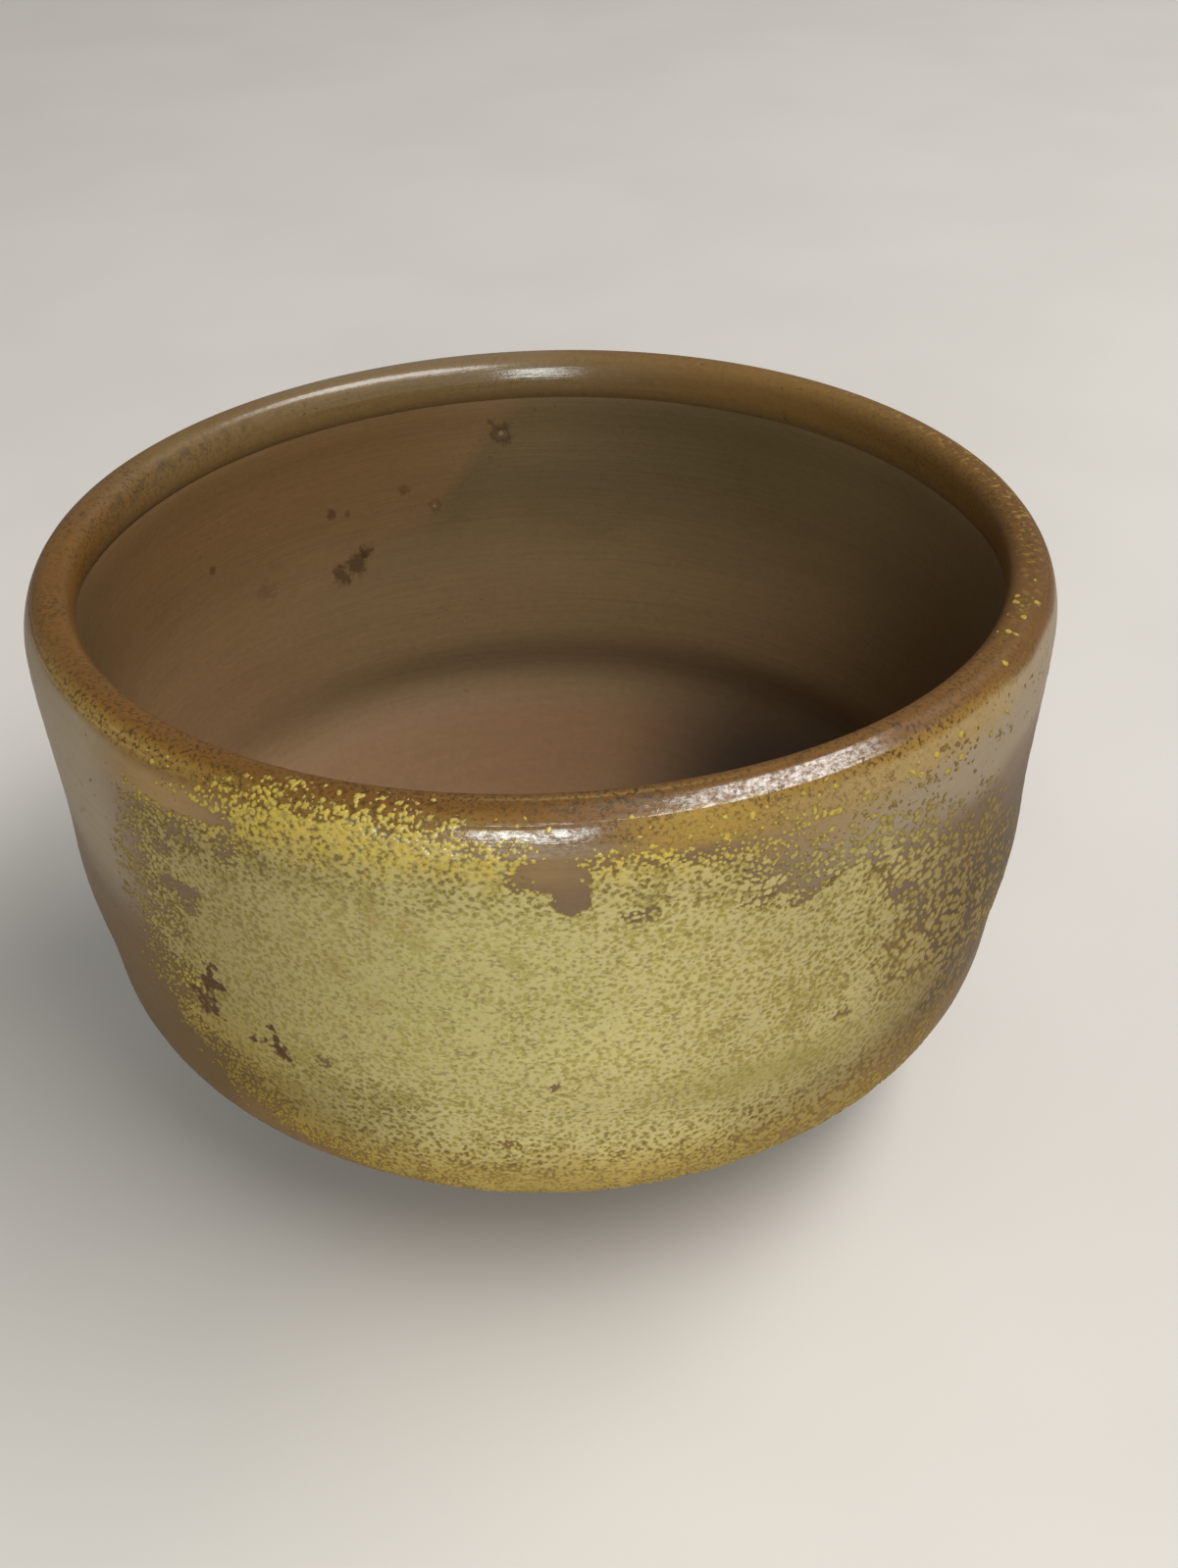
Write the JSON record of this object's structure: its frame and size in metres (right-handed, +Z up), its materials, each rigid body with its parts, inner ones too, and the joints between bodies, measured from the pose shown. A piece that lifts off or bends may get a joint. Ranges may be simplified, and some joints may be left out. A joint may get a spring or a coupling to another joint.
{
  "type": "tea bowl",
  "caption": "Round thrown stoneware tea bowl with a rolled lip, a wall that turns under to a low foot ring, and a natural ash glaze coat on one side.",
  "frame": {"origin": "centre of the foot ring's resting face, on the throwing axis", "axes": "+Z up along the throwing axis, -Y towards the ash-coated front, +X to the right seen from the front"},
  "size_m": [0.12, 0.1204, 0.071],
  "materials": {
    "stoneware": "satin wood-fired stoneware, brown with an orange lip, greyer on the flanks",
    "bare_foot_clay": "matt bare clay, fine grained",
    "ash_glaze": "olive yellow natural ash glaze, satin, broken into fine granules towards its edge"
  },
  "bodies": {
    "root": {"bowl_body": "stoneware", "foot_ring": "bare_foot_clay", "ash_coat": "ash_glaze"}
  },
  "joints": []
}
